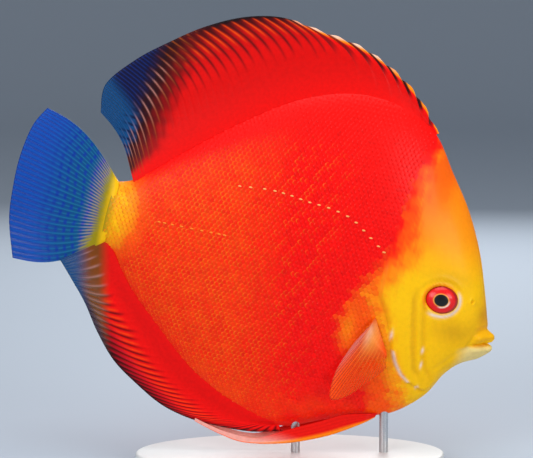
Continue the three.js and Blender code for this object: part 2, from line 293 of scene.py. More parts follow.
MOUTH = np.array([74.5, -21.5])
MOUTH_CORNER = np.array([66.9, -23.2])
LIP_START = (MOUTH_CORNER[0] - 0.6, MOUTH_CORNER[0] + 2.6)
EYE = np.array([53.2, -9.7])
EYE_OPENING = (5.2, 4.4)
SOCKET_DEPTH = 2.8
SOCKET_WALL = (0.74, 1.06)  # in reaches, where 1 is the rim of the eye's opening
BROW_RISE = (EYE[1] + 1, EYE[1] + 6)
GILL_EDGE = [(33, -6), (32.8, -11), (35, -15.5), (38, -20), (39.8, -24.7), (42, -31.1),
             (45.1, -35.6), (49.1, -39.3), (54, -41), (60, -41.6)]
GILL_LIFT = 0.75
GILL_FALL = (0.3, 9)
CHEEK_GROOVE = [(44.6, -8), (44.8, -12.4), (46.2, -19.8), (48.1, -28), (50, -34.5), (53.4, -38.4)]

# Bells of the relief: the place, width and height in mm of each.
LIP_BELLS = [(0, 0.5, -1.5), (2.5, 1.3, 0.85), (-1.7, 1, 0.6), (5.4, 1, -0.5), (-4.9, 1, -0.4)]
BROW_BELLS = [(1.62, 0.16, 0.22)]
GILL_STEP_BELLS = [(0, 1.6, -0.35)]
GROOVE_BELLS = [(0, 0.8, -0.45), (1.6, 0.8, 0.28), (3.4, 0.7, -0.3), (6, 1.8, 0.2)]
ROUND_FORMS = [
    # middle, radii, bells placed in reaches from it
    ((66.3, -23.6), (1, 1), [(0, 1.3, -0.35)]),  # dimple at the mouth's corner
    ((64, -8.5), (1, 1), [(0.85, 0.35, 0.22), (0, 0.45, -0.75)]),  # nostril
    (EYE, EYE_OPENING, [(1.14, 0.11, 0.42), (1.38, 0.1, -0.3)]),  # rim round the eye
    ((57, -26), (8, 6.5), [(0, 1, 0.5)]),  # cheek
]
FOLDS = [
    # line, width, height
    ([(66.6, -24), (62.5, -26.8), (57, -33)], 0.7, -0.22),  # along the jaw
    ([(71.4, -16.5), (67.6, -19.4), (66, -23.6)], 0.7, -0.3),  # behind the upper lip
]

SINES = 6
FULL_TURN = 6.3


def smooth(value, low, high):
    """0 below low and 1 above high, with a level start and end: 3 t squared minus 2 t cubed between."""
    t = np.clip((value - low) / (high - low), 0, 1)
    return t * t * (3 - 2 * t)


def window(value, rise, fall):
    """1 from the end of the stretch rise to the start of the stretch fall, and 0 outside the two."""
    return smooth(value, *rise) * (1 - smooth(value, *fall))


def hump(value, width):
    """A bell of height 1 at 0 that has fallen to 1/e at width."""
    return np.exp(-(value / width) ** 2)


def bells(value, forms):
    """Sum of bells along a value, each with its place, width and height."""
    return sum(height * hump(value - place, width) for place, width, height in forms)


def spline(points, t):
    """Catmull-Rom curve: t from 0 to 1 runs evenly from point to point, with the end points repeated."""
    points = np.asarray(points, float)
    spot = np.clip(t, 0, 1) * (len(points) - 1)
    i = np.minimum(spot.astype(int), len(points) - 2)
    f = (spot - i)[..., None]
    before, start, end, after = (points[np.clip(i + k, 0, len(points) - 1)] for k in (-1, 0, 1, 2))
    leave, arrive = (end - before) / 2, (after - start) / 2
    return ((2 * start - 2 * end + leave + arrive) * f ** 3
            + (3 * end - 3 * start - 2 * leave - arrive) * f ** 2 + leave * f + start)


def leveled(x, z):
    """Fish frame to level coordinates in mm: turned about Y so that the nose points down."""
    return x * np.cos(NOSE_DOWN) + z * np.sin(NOSE_DOWN), z * np.cos(NOSE_DOWN) - x * np.sin(NOSE_DOWN)


def posed(x, y, z):
    """Fish frame in mm to the model's frame in metres: leveled, then raised to its height."""
    level_x, level_z = leveled(x, z)
    return grid(level_x, y, FISH_HEIGHT + level_z) / 1000


def body(turn, along, inset=0):
    """Body surface: a ring of the rung at along, rising from belly to back as (1 - cos) / 2 of its angle.

    Its half width is (W - E) s^p + E s, with s the sine of the angle, W the rung's half width less the
    inset, E the rounding of the keels, and p growing from an ellipse's 1 at the snout to the trunk's.
    """
    rung = spline(RUNGS, along)
    angle = 2 * np.pi * turn
    lift = (1 - np.cos(angle)) / 2
    side = np.abs(np.sin(angle))
    half = np.maximum(rung[..., 4] - inset, EDGE_HALF)
    power = KEEL_HEAD + (KEEL_TRUNK - KEEL_HEAD) * smooth(along, *KEEL_CHANGE)
    width = (half - EDGE_HALF) * side ** power + EDGE_HALF * side
    sweep = SNOUT_SWEEP * side ** 2 * (1 - smooth(along, 0, SNOUT_END))
    x = rung[..., 2] + (rung[..., 0] - rung[..., 2]) * lift - sweep
    z = rung[..., 3] + (rung[..., 1] - rung[..., 3]) * lift
    return x, -np.sign(np.sin(angle)) * width, z


def beside(x, z, line):
    """Distance in mm from (x, z) to a side view line, and the same signed: above 0 in front of the line.

    The nearest point of each stretch is its start plus t of its run, t held between 0 and 1.
    """
    line = np.asarray(line, float)
    best = np.full(np.shape(x), np.inf)
    front = np.zeros(np.shape(x))
    for start, end in zip(line[:-1], line[1:]):
        run = end - start
        t = np.clip(((x - start[0]) * run[0] + (z - start[1]) * run[1]) / (run @ run), 0, 1)
        dx = x - start[0] - t * run[0]
        dz = z - start[1] - t * run[1]
        distance = np.hypot(dx, dz)
        ahead = (dx * -run[1] + dz * run[0]) / np.hypot(*run)
        nearer = distance < best
        best = np.where(nearer, distance, best)
        front = np.where(nearer, np.sign(ahead) * distance, front)
    return best, front


def reach(x, z, middle, radii):
    """Distance of (x, z) from a middle, counted in an ellipse's radii: 1 on the ellipse."""
    return np.hypot((x - middle[0]) / radii[0], (z - middle[1]) / radii[1])


def waves(x, z, size, seed):
    """Soft irregular pattern from 0 to 1: a few sine waves about size mm long, each turned at random.

    Their sum is divided by one more than their number and centred on a half.
    """
    dice = np.random.default_rng(seed)
    turns = dice.uniform(0, np.pi, SINES)
    phases = dice.uniform(0, FULL_TURN, SINES)
    paces = dice.uniform(0.7, 1.5, SINES)
    total = 0
    for turned, phase, pace in zip(turns, phases, paces):
        total = total + np.sin((x * np.cos(turned) + z * np.sin(turned)) * FULL_TURN * pace / size + phase)
    return np.clip(0.5 + total / (SINES + 1), 0, 1)


def mouth_height(x, z):
    """Height over the mouth's line, and how strongly the lips show: 0 behind its corner and 1 in front."""
    slope = (MOUTH[1] - MOUTH_CORNER[1]) / (MOUTH[0] - MOUTH_CORNER[0])
    return z - MOUTH[1] - slope * (x - MOUTH[0]), smooth(x, *LIP_START)


def relief(x, y, z):
    """Height of the skin's own forms in mm, out from the plain body.

    It is a sum of bells across lines and round points. All but the lips fade out towards the keels.
    """
    over, lips = mouth_height(x, z)
    eye = reach(x, z, EYE, EYE_OPENING)
    forms = smooth(z, *BROW_RISE) * bells(eye, BROW_BELLS) - SOCKET_DEPTH * (1 - smooth(eye, *SOCKET_WALL))
    for middle, radii, shape in ROUND_FORMS:
        forms = forms + bells(reach(x, z, middle, radii), shape)
    for line, width, height in FOLDS:
        forms = forms + height * hump(beside(x, z, line)[0], width)
    distance, front = beside(x, z, GILL_EDGE)
    plate = np.where(front > 0, GILL_LIFT * (1 - smooth(front, *GILL_FALL)), bells(distance, GILL_STEP_BELLS))
    forms = forms + plate * smooth(-z, -8, -1) * window(x, (30, 34), (56, 60))
    grooves = bells(beside(x, z, CHEEK_GROOVE)[1], GROOVE_BELLS)
    forms = forms + grooves * window(-z, (6, 12), (35, 39))
    return lips * bells(over, LIP_BELLS) + smooth(np.abs(y), *KEEL_FADE) * forms


def outward(points):
    """Unit normals of a grid whose columns close into a ring: the cross product of its two steps."""
    ahead = np.gradient(points, axis=0)
    sideways = (np.roll(points, -1, axis=1) - np.roll(points, 1, axis=1)) / 2
    normal = np.cross(sideways, ahead)
    return normal / np.maximum(np.linalg.norm(normal, axis=-1, keepdims=True), 1e-12)


def tint(code):
    """An sRGB hex colour as an array of linear red, green and blue."""
    return np.array(linear(code)[:3])


def painted(colour, *coats):
    """Linear colour under coats of a colour and a share each, laid over it in turn.

    A coat turns the colour c under it into c (1 - share) + coat share, with the share held from 0 to 1.
    """
    for over, share in coats:
        share = np.clip(share, 0, 1)[..., None]
        colour = colour * (1 - share) + over * share
    return colour


def paint(piece, name, values):
    """Puts one value, or one linear colour, on each point of a piece under a name that materials read."""
    kind, field = ("FLOAT", "value") if values.ndim == 1 else ("FLOAT_COLOR", "color")
    if values.ndim == 2:
        values = np.concatenate([values, np.ones((len(values), 1))], axis=1)
    layer = piece.data.attributes.new(name, kind, "POINT")
    layer.data.foreach_set(field, values.astype(np.float32).reshape(-1))


RED = tint("F80602")
ORANGE = tint("FF5202")
AMBER = tint("FF8C04")
YELLOW = tint("FFC202")
OLIVE = tint("9A8A0E")
SHADE = tint("D89E06")
CREAM = tint("EBD48C")
PEARL = tint("FBE3D2")
FACE_BORDER = [(48.5, 52), (43.5, 37), (40.5, 27.5), (40, 19), (40, 8.9), (38, 2.1), (33, -4.2),
               (28.5, -13), (31.5, -17), (33.5, -24), (36, -31), (39, -36.5), (43, -42.5),
               (48.5, -52)]
WARM_BORDER = [(45.5, 52), (40.5, 37), (36, 27.5), (35, 19), (35, 8.9), (33.5, 2.1), (29, -4.2),
               (24.5, -13), (21.5, -22), (23.5, -31), (28, -36), (33, -41), (37, -46),
               (39, -56)]
GROOVE_SHADES = [(0, 0.9, 0.6), (3.4, 0.8, 0.48)]
# Line of a painted highlight along the gill cover's pearly edge.
GILL_GLEAM = [(41.9, -30.3), (43.3, -33.4), (46.2, -37.2), (49, -39.2)]

# Round marks, among them painted shade and painted highlights: middle and radii in mm.
STALK = ((-60.5, -6.6), (10.5, 14.5))
# Painted shade under and over the eye.
UNDER_EYE = ((60, -19.5), (7.5, 4))
OVER_EYE = ((54, -2.5), (7, 2.6))
FIN_PIT = ((25.5, -26), (2.2, 5))
# Painted highlights on pearly skin: glints on the gill cover's edge and on two pores in front of it.
PEARL_GLINT_SPOTS = [
    ((39.9, -24.6), (0.42, 1.5)),
    ((52.6, -40.6), (0.42, 0.8)),
    ((51.3, -27.7), (0.42, 0.9)),
    ((52, -32.6), (0.42, 1)),
]


def pigment_and_painted_light(x, y, z):
    """The fish's markings, painted shade and painted highlights in linear colour, as coats laid over a red
    flank, rear to front and then details.

    Borders are distances in mm to lines, made ragged by waves, and shares rise smoothly across them.
    """
    ragged = 3.0 * (waves(x, z, 7, 3) - 0.5) + 2.2 * (waves(x, z, 2.4, 4) - 0.5)
    drifts = 0.06 + 0.22 * waves(x, z, 12, 5) + 0.2 * waves(x, z, 4, 15)
    rear = smooth(-x - 0.15 * z, -4, 22) * (1 - smooth(z - 0.62 * x, 30, 42))
    warm = beside(x, z, WARM_BORDER)[1]
    face = beside(x, z, FACE_BORDER)[1]
    crown = smooth(z + 0.8 * ragged, 8, 30) * smooth(face, -2, 2) * (1 - 0.5 * smooth(face, 6, 12))
    stalk = reach(x, z, *STALK) + 0.03 * ragged
    # Where the painted shade lies: the brow's front edge, under and over the eye, and the cheek grooves.
    brow = smooth(x - 0.25 * z, 66, 72.5) * smooth(z, -22, -12)
    under = hump(reach(x, z, *UNDER_EYE), 1) + 0.7 * hump(reach(x, z, *OVER_EYE), 1)
    grooves = bells(beside(x, z, CHEEK_GROOVE)[1], GROOVE_SHADES) * window(-z, (6, 12), (34, 39))
    over, lips = mouth_height(x, z)
    eye = reach(x, z, EYE, EYE_OPENING)
    toward = np.arctan2(z - EYE[1], x - EYE[0])
    # Painted highlights: pale glints on the gill cover's edge and on two pores in front of it.
    spots = [(PEARL, 0.9 * hump(reach(x, z, *spot), 1)) for spot in PEARL_GLINT_SPOTS]
    return painted(
        RED,
        (ORANGE, drifts * rear),
        (ORANGE, 0.35 * smooth(-z, 44, 58) * waves(x, z, 9, 6)),
        (ORANGE, smooth(warm + ragged, -1.5, 3)),
        (AMBER, smooth(face + ragged, -2, 3)),
        (YELLOW, smooth(face + 0.7 * ragged, 2, 8) * (1 - 0.85 * smooth(z, -6, 14))),
        (ORANGE, 0.75 * crown),
        (ORANGE, 0.9 * (1 - smooth(stalk, 1, 1.5))),
        (AMBER, 1 - smooth(stalk, 0.8, 1.05)),
        (YELLOW, 0.6 * (1 - smooth(stalk, 0.5, 0.85)) * (0.5 + waves(x, z, 5, 12))),
        (OLIVE, 0.85 * smooth(-x, 57.5, 61)),
        # Painted shade on the brow's front edge, under and over the eye and in the cheek grooves.
        (SHADE, 0.75 * brow * (0.5 + waves(x, z, 9, 7))),
        (SHADE, 0.8 * under),
        (SHADE, grooves),
        (CREAM, 0.85 * smooth(-over, 0, 1.2) * smooth(x, 61.5, 67.5)),
        (AMBER, 0.2 * lips * smooth(over, 0.6, 2)),
        # A crescent on the eye's lower front rim: pale pearly skin, with a painted highlight on it.
        (PEARL, 0.95 * hump(eye - 1.27, 0.12) * smooth(np.cos(toward + 0.8), 0.05, 0.5)),
        (AMBER, hump(eye - 1.12, 0.10) * smooth(np.cos(toward - 2.3), -0.2, 0.4)),
        # Painted highlights along the gill cover's pearly edge, then the pale glints.
        (PEARL, 0.95 * hump(beside(x, z, GILL_GLEAM)[0], 0.5)),
        *spots,
        (AMBER, 0.6 * hump(reach(x, z, *FIN_PIT), 1)),
    )


SKIN_ROWS = 300
SKIN_AROUND = 300
CAP_ROWS = 14
HEAD_CROWDING = 0.58  # share of the rows' spacing that grows as the cube, so most rows lie on the head
SNOUT_BULGE = 0.3
TAIL_POINT = 1.2

# The mouth's end ring is carried on over the snout as a quarter turn, and the last ring closes to a seam.
step = np.linspace(0, 1, SKIN_ROWS)
along = (1 - HEAD_CROWDING) * step + HEAD_CROWDING * step ** 3
turn = (np.arange(SKIN_AROUND) + 0.5) / SKIN_AROUND
x, y, z = body(turn[None, :], along[:, None], SCALE_DEPTH)
arc = np.linspace(np.pi / 2, 0, CAP_ROWS, endpoint=False)[:, None]
side = np.abs(np.sin(2 * np.pi * turn))
cap_x = x[0] + (SNOUT_SWEEP * side ** 2 + SNOUT_BULGE * side) * np.sin(arc)
cap_y = y[0] * np.cos(arc)
cap_z = z[0] + 0 * arc
end_x, end_z = x[-1:] - TAIL_POINT * side, z[-1:]
x = np.concatenate([cap_x, x, end_x])
y = np.concatenate([cap_y, y, 0 * end_x])
z = np.concatenate([cap_z, z, end_z])
plain = grid(x, y, z)
swell = relief(x, y, z)
swell[-1] = 0
raised = plain + outward(plain) * swell[..., None]
raised[0, :, 1] = 0
skin = net("skin", posed(*np.moveaxis(raised, -1, 0)), ring=True)
paint(skin, "pigment_and_painted_light", pigment_and_painted_light(x, y, z).reshape(-1, 3))

MOTTLE = 1.4286  # mm across the skin's fine mottling
SKIN_PORE = 0.71429  # mm from pore to pore, drawn coarser than the real ones so that they show
SCALE_PORE = 0.384615  # mm, the like on the scales


def marked(tree, shader, size, low, high, detail=3):
    """Base colour from the attribute of pigment and painted light, mottled from low to high brightness
    in patches of size mm.
    """
    place = add(tree, "ShaderNodeTexCoord").outputs["Object"]
    marks = add(tree, "ShaderNodeAttribute", attribute_name="pigment_and_painted_light").outputs["Color"]
    mottle = add(tree, "ShaderNodeTexNoise", {"Vector": place, "Scale": per_metre(size), "Detail": detail})
    value = add(tree, "ShaderNodeMapRange", {"Value": mottle.outputs["Fac"], "To Min": low, "To Max": high})
    toned = add(tree, "ShaderNodeHueSaturation", {"Color": marks, "Value": value.outputs["Result"]})
    tree.links.new(toned.outputs["Color"], shader.inputs["Base Color"])
    return place, mottle.outputs["Fac"]


def wet_skin(name, pore, rough):
    """Living skin under clear slime: soft and slightly see-through, with a broad wet sheen over fine pores.

    Light sinks in by up to 1.5 mm, red the deepest, and the pores are a bump of 0.2 mm.
    """
    made, tree, shader = finish(name, Roughness=rough, IOR=1.38, Coat_Weight=0.08, Coat_Roughness=0.2)
    shader.inputs["Specular IOR Level"].default_value = 0.18
    shader.inputs["Subsurface Weight"].default_value = 0.06
    shader.inputs["Subsurface Radius"].default_value = (1, 0.35, 0.1)
    shader.inputs["Subsurface Scale"].default_value = 0.0015
    place, _ = marked(tree, shader, MOTTLE, 0.9, 1.1)
    pores = add(tree, "ShaderNodeTexNoise", {"Vector": place, "Scale": per_metre(pore), "Detail": 2})
    bump = add(tree, "ShaderNodeBump", {"Height": pores.outputs["Fac"], "Strength": 0.25, "Distance": 0.0002})
    tree.links.new(bump.outputs["Normal"], shader.inputs["Normal"])
    return made


slimy_skin = wet_skin("slimy_skin", SKIN_PORE, 0.46)
close(skin, slimy_skin)
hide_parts("head", "upper_lip", "lower_jaw", "gill_cover_right", "gill_cover_left", "trunk",
            "tail_stalk")
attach(skin, "root")

# The scales
# Thin round-ended plates rooted under the skin in slanting rows, 1.53 mm apart along the fish, each one
# lying over the front of those behind. Their margins carry the orange net that shows on the rear flank.

SCALE_PITCH = 1.53
ROW_PITCH = 0.87 * SCALE_PITCH
ROWS = (-80, 80)
COLUMNS = (-70, 60)
SCALE_LENGTH = 2.25
SCALE_HALF = 0.94
SCALE_EDGE = 0.2
SCALE_ROOT = 0.1
WIDEST = 0.62
FREE_EDGE = 0.93
PLATE_P = [0, 0.4, 0.72, FREE_EDGE, 1]
PLATE_Q = [-1, -0.6, 0, 0.6, 1]
SCALED_BEHIND = [(44.5, 60), (41.5, 42), (37, 30), (35, 15), (33.5, 2), (31.6, -8),
                 (32.2, -13), (37, -20.5), (39, -26), (41.2, -32), (44, -36.5), (49, -41),
                 (56, -46)]
CLEAR_OF_EDGE = 0.6
SCALED_ALONG = (0.1, 0.985)
SCALED_LIFT = (0.012, 0.988)
PLACE_JITTER = 0.05
SPIN_JITTER = 0.05
SIZE_JITTER = 0.03
SHADE_JITTER = 0.04
PROBE = 0.002  # step in turn or along that gives the flank's slope
UV_HALF = 0.0013  # half the breadth of one scale's patch on the unwrap
HALVINGS = 26
SIDES = (("right", -1), ("left", 1))


def rung_of(x, z):
    """Along and lift of the flank's point (x, z): halves the span until the rung passes through it."""
    low, high = np.full(x.shape, 0.02), np.ones(x.shape)
    for _ in range(HALVINGS):
        middle = (low + high) / 2
        rung = spline(RUNGS, middle)
        lean = (rung[:, 0] - rung[:, 2]) * (z - rung[:, 3]) - (rung[:, 1] - rung[:, 3]) * (x - rung[:, 2])
        behind = lean > 0
        low, high = np.where(behind, middle, low), np.where(behind, high, middle)
    return middle, (z - rung[:, 3]) / (rung[:, 1] - rung[:, 3])


def turn_of(lift, hand):
    """Turn at which a ring has a lift, the angle whose (1 - cos) / 2 it is: hand -1 is the right flank."""
    turn = np.arccos(1 - 2 * lift) / (2 * np.pi)
    return turn if hand < 0 else 1 - turn


def unit(vectors):
    """The vectors divided by their lengths."""
    return vectors / np.linalg.norm(vectors, axis=-1, keepdims=True)


def repeated(quads, points, count):
    """The quads of one small form of so many points, for count copies whose points follow one another."""
    return (quads.reshape(-1, 4)[None] + points * np.arange(count)[:, None, None]).reshape(-1, 4)


def scale_form(p, q):
    """One scale: how far its point runs back, lies across and stands out, in mm.

    p runs from root to free edge and q from side to side. The free edge falls back by p q squared, the
    sides swell as a sine up to the widest place, and the back is domed by 1 - 0.7 q squared.
    """
    run = SCALE_LENGTH * (p - 0.5) - 0.55 * p * q ** 2
    swell = 0.6 + 0.4 * np.sin(np.pi / 2 * np.minimum(p / WIDEST, 1))
    across = SCALE_HALF * q * swell * (1 - 0.25 * smooth(p, 0.8, 1))
    slope = -SCALE_ROOT + (SCALE_EDGE + SCALE_ROOT) * np.minimum(p / FREE_EDGE, 1)
    return run, across, slope * (1 - 0.7 * q ** 2) - 0.16 * smooth(p, FREE_EDGE, 1)


def coat(name, hand):
    """Scales of one flank in one mesh: a staggered lattice of bent plates, 4 by 4 faces each.

    Each plate lies on the flank's normal, out of the cross product of a step up and a step back, and is
    smaller towards the keels and the tail.
    """
    column, row = (spot.reshape(-1) for spot in np.meshgrid(np.arange(*COLUMNS), np.arange(*ROWS)))
    dice = np.random.default_rng(8 + hand)
    x = (column + 0.5 * (row % 2)) * SCALE_PITCH + dice.normal(0, PLACE_JITTER, row.shape)
    z = row * ROW_PITCH + dice.normal(0, PLACE_JITTER, row.shape)
    along, lift = rung_of(x, z)
    kept = beside(x, z, SCALED_BEHIND)[1] < -CLEAR_OF_EDGE
    kept &= (along > SCALED_ALONG[0]) & (along < SCALED_ALONG[1])
    kept &= (lift > SCALED_LIFT[0]) & (lift < SCALED_LIFT[1])
    x, z, along, lift = x[kept], z[kept], along[kept], lift[kept]
    turn = turn_of(lift, hand)
    base = grid(*body(turn, along, SCALE_DEPTH))
    swell = relief(*base.T)
    up = grid(*body(turn + PROBE, along, SCALE_DEPTH)) - base
    back = grid(*body(turn, along + PROBE, SCALE_DEPTH)) - base
    out = unit(np.cross(up, back))
    rearward = unit(np.array([-1, 0, 0]) + out * out[:, :1])
    sideways = np.cross(out, rearward)
    spin = dice.normal(0, SPIN_JITTER, len(x))[:, None]
    length_way = rearward * np.cos(spin) + sideways * np.sin(spin)
    breadth_way = sideways * np.cos(spin) - rearward * np.sin(spin)
    size = (1 - 0.35 * smooth(np.abs(lift - 0.5), 0.38, 0.49)) * (1 - 0.3 * smooth(along, 0.8, 0.98))
    size = (size * dice.normal(1, SIZE_JITTER, len(x)))[:, None, None]
    p, q = (spot.reshape(-1) for spot in np.meshgrid(PLATE_P, PLATE_Q, indexing="ij"))
    run, across, rise = (part[:, None] for part in scale_form(p, q))
    spread = run * length_way[:, None, :] + across * breadth_way[:, None, :]
    points = (base + out * swell[:, None])[:, None, :] + size * spread + rise * out[:, None, :]
    index = np.arange(p.size).reshape(len(PLATE_P), len(PLATE_Q))
    quads = repeated(cells(index.T), p.size, len(x))
    patch = grid(along[:, None] + UV_HALF * (2 * p - 1), turn[:, None] + UV_HALF * q)
    corners = patch.reshape(-1, 2)[quads.reshape(-1)]
    piece = piece_of(name, posed(*points.reshape(-1, 3).T), quads, corners)
    margin = np.maximum(smooth(p, 0.72, FREE_EDGE), 0.75 * smooth(np.abs(q), 0.5, 1) * smooth(p, 0.2, 0.5))
    return piece, (x, base[:, 1], z), margin


def net_strength(x, z):
    """How strongly orange margins show, 0 to 1: on the rear and lower flank, and in flecks in its middle.

    It is the greatest of the three shares, less a band along the rear of the back.
    """
    rear = smooth(-x - 0.2 * z, -4, 24)
    low = 0.8 * smooth(-z, 18, 42) * smooth(-x, -12, 4)
    fleck = smooth(waves(x, z, 5, 9), 0.45, 0.75) * smooth(-x, -22, -6) * (1 - smooth(z, 24, 36))
    edge = smooth(z - 0.62 * x, 34, 42)
    return np.clip(np.maximum(np.maximum(rear, low), 0.6 * fleck) * (1 - edge), 0, 1)


# Bony scales in the same slime: a little glossier than bare skin, so that each one catches the light.
scaly_skin = wet_skin("scales_in_slime", SCALE_PORE, 0.42)
for side, hand in SIDES:
    scales, (x, y, z), margin = coat("scales_" + side, hand)
    dice = np.random.default_rng(5)
    shade = dice.normal(1, SHADE_JITTER, (len(x), 1))
    centre = pigment_and_painted_light(x, y, z) * shade
    patchy = dice.uniform(0.35, 1.1, len(x)) * (0.7 + 0.6 * waves(x, z, 11, 10))
    rimmed = painted(centre, (0.6 * ORANGE + 0.4 * AMBER, 0.9 * net_strength(x, z) * patchy))
    colour = centre[:, None, :] * (1 - margin[:, None]) + rimmed[:, None, :] * margin[:, None]
    paint(scales, "pigment_and_painted_light", colour.reshape(-1, 3))
    scales.data.shade_smooth()
    scales.data.materials.append(scaly_skin)
    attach(scales, "root")

# The eyes
# A flattened glass eye on each side: scarlet iris with a thin gold ring round the black pupil and a
# painted highlight beside the ring, under a clear polished dome that stands a little proud of the head.

EYE_SIDE = 8.7
EYE_HALF = (5.9, 3.4, 5)
EYE_ROWS = 90
EYE_COLUMNS = 96
PUPIL = 0.45
IRIS = tint("EE0408")
IRIS_RIM = tint("A80406")
GOLD = tint("F2A03C")
PUPIL_BLACK = np.array([0.001, 0.001, 0.001])
IRIS_THREAD = 0.66667  # mm between the iris's fine threads

# Glass blown over a painted iris: deep clean colour with one small sharp highlight.
glass_eye, tree, shader = finish("painted_glass_eye", Roughness=0.3, IOR=1.4, Coat_Weight=0.2,
                                 Coat_Roughness=0.04)
marked(tree, shader, IRIS_THREAD, 0.75, 1.2, detail=4)
for name, node, hand in (("eye_glass_right", "eye_right", -1), ("eye_glass_left", "eye_left", 1)):
    tilt = np.linspace(0, np.pi, EYE_ROWS)[:, None]
    turn = np.linspace(0, 2 * np.pi, EYE_COLUMNS, endpoint=False)
    x = EYE[0] + EYE_HALF[0] * np.sin(tilt) * np.cos(turn)
    y = hand * (EYE_SIDE + EYE_HALF[1] * np.cos(tilt))
    z = EYE[1] + EYE_HALF[2] * np.sin(tilt) * np.sin(turn)
    from_middle = reach(x, z, EYE, EYE_OPENING)
    # Painted highlight: a pale arc just outside the gold ring, on the eye's lower front.
    painted_glint = smooth(np.cos(np.arctan2(z - EYE[1], x - EYE[0]) + 0.9), 0.4, 0.9)
    colour = painted(
        IRIS,
        (IRIS_RIM, smooth(from_middle, 0.86, 1)),
        (GOLD, hump(from_middle - PUPIL - 0.03, 0.045)),
        # The painted highlight beside the gold ring.
        (PEARL, painted_glint * hump(from_middle - PUPIL - 0.09, 0.05)),
        (PUPIL_BLACK, 1 - smooth(from_middle, PUPIL - 0.02, PUPIL + 0.01)),
    )
    eye = net(name, posed(x, y, z)[:, ::hand], ring=True)
    paint(eye, "pigment_and_painted_light", colour[:, ::hand].reshape(-1, 3))
    close(eye, glass_eye)
    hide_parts(node)
    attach(eye, "root")

# The fins
# Thin skin stretched over jointed rays that fork towards the margin, each fin one closed blade whose
# root is sunk in the body. u runs from a fin's front ray to its rear one and v from root to margin, both
# 0 to 1, and markings are painted along them. A blade is clear where the real one is.

ROOT_HALF = 1.25
SKIN_HALF = 0.1
RAY_HALF = 0.1
RAY_WIDTH = 0.16  # in steps from one ray to the next
FORK_WIDTH = 0.3
FORK_LENGTH = 0.25
FIN_MOTTLE = 1.1111  # mm across the fins' mottling

# Wet skin over horny rays: a dull sheen broken by fine unevenness, and see-through between the rays.
wet_fin, tree, shader = finish("wet_fin_skin", Roughness=0.5, IOR=1.38, Coat_Weight=0.08, Coat_Roughness=0.25)
shader.inputs["Specular IOR Level"].default_value = 0.15
_, mottle = marked(tree, shader, FIN_MOTTLE, 0.86, 1.12)
clear = add(tree, "ShaderNodeAttribute", attribute_name="clear")
solid = add(tree, "ShaderNodeMath", {0: 1, 1: clear.outputs["Fac"]}, operation="SUBTRACT")
tree.links.new(solid.outputs["Value"], shader.inputs["Alpha"])
bump = add(tree, "ShaderNodeBump", {"Height": mottle, "Strength": 0.2, "Distance": 0.0002})
tree.links.new(bump.outputs["Normal"], shader.inputs["Normal"])


def blade(name, root, margin, bend, half, facing, rows, columns):
    """A closed blade from root(u) to margin(u): straight rays bent by bend(u, v), half(u, v) thick each side.

    Columns run out along one face and back along the other, the thickness rounds off at the margin as the
    square root of 1 - v^16, and the first and last rows are pinched shut.
    """
    u = np.linspace(0, 1, rows)[:, None]
    out = np.linspace(0, 1, columns)
    v = np.concatenate([out, out[-2:0:-1]])[None, :]
    side = facing * np.where(np.arange(v.size) < columns, 1, -1) * (v < 1)
    inner, outer = root(u[:, 0])[:, None, :], margin(u[:, 0])[:, None, :]
    shift = bend(u, v)
    x = inner[..., 0] + (outer[..., 0] - inner[..., 0]) * v + shift[0]
    z = inner[..., 1] + (outer[..., 1] - inner[..., 1]) * v + shift[2]
    y = shift[1] + side * half(u, v) * np.sqrt(1 - v ** 16) + 0 * x
    u, v, middle = np.broadcast_arrays(u, v, shift[1])
    x, y, z, u, v = (np.concatenate([part[:1], part, part[-1:]]) for part in (x, y, z, u, v))
    y[0], y[-1] = middle[0], middle[-1]
    return net(name, posed(x, y, z), ring=True), x, z, u, v


def striped(phase, place, width):
    """A bell once for each whole step of phase, at a place past the step and of a width in steps."""
    return hump((phase - place + 0.5) % 1 - 0.5, width)


def ray_form(phase, v, fork):
    """Ray ridges, 1 on a ray and 0 between: one for each whole step of phase, forked in two beyond fork."""
    share = smooth(v, fork, fork + FORK_LENGTH)
    return striped(phase, 0, RAY_WIDTH) * (1 - share) + striped(2 * phase, 0, FORK_WIDTH) * share


def fleshy(v, ridge, limit=0.45):
    """Half thickness of a blade in mm: a thick root, thinning smoothly up to limit to skin with rays."""
    return ROOT_HALF * (1 - smooth(v, -0.05, limit)) + SKIN_HALF + RAY_HALF * ridge * smooth(v, 0.15, 0.6)


def crowded(t, share):
    """t from 0 to 1 with steps that grow towards 1: (1 - share) t + share t squared."""
    return (1 - share) * t + share * t ** 2


def finished(piece, colour, clear, node):
    """Paints a blade, closes it and sets it in the place of its CAD node."""
    paint(piece, "pigment_and_painted_light", colour.reshape(-1, 3))
    paint(piece, "clear", np.clip(clear, 0, 1).reshape(-1))
    close(piece, wet_fin)
    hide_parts(node)
    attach(piece, "root")


# The dorsal fin
# Eight spines with pale free tips in front, then thirty soft rays that lean back ever more. It is red,
# dark along its margin, and turns from maroon over navy to clear teal in its rear lobe.

